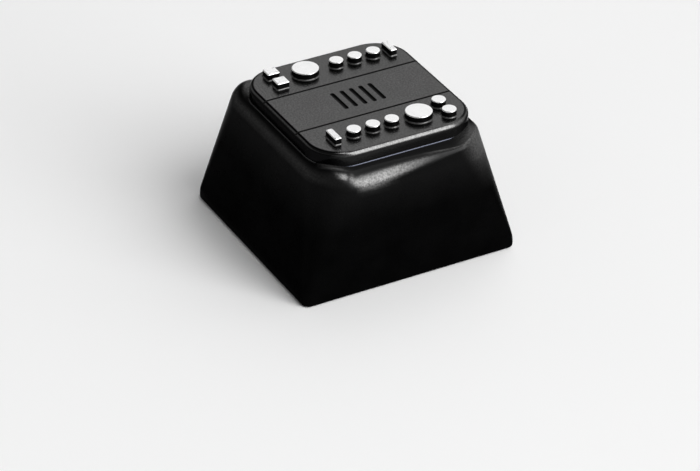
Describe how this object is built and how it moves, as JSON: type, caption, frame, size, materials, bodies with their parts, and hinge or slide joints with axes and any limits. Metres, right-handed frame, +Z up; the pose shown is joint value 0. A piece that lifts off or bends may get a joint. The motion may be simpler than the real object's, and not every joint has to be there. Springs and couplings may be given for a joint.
{
  "type": "artisan keycap",
  "caption": "Square metal keycap with drafted walls, a raised rounded panel of bright-topped studs, and a hollow underside with a cross-socket stem post.",
  "frame": {"origin": "middle of the square rim, on the plane the cap rests on", "axes": "+Z up through the top of the key, +X to the key's right, +Y to its back"},
  "size_m": [0.0182, 0.0182, 0.0116],
  "materials": {
    "black_anodised": "black anodised satin, stud tops cut bright"
  },
  "bodies": {
    "root": {"keycap": "black_anodised"}
  },
  "joints": []
}
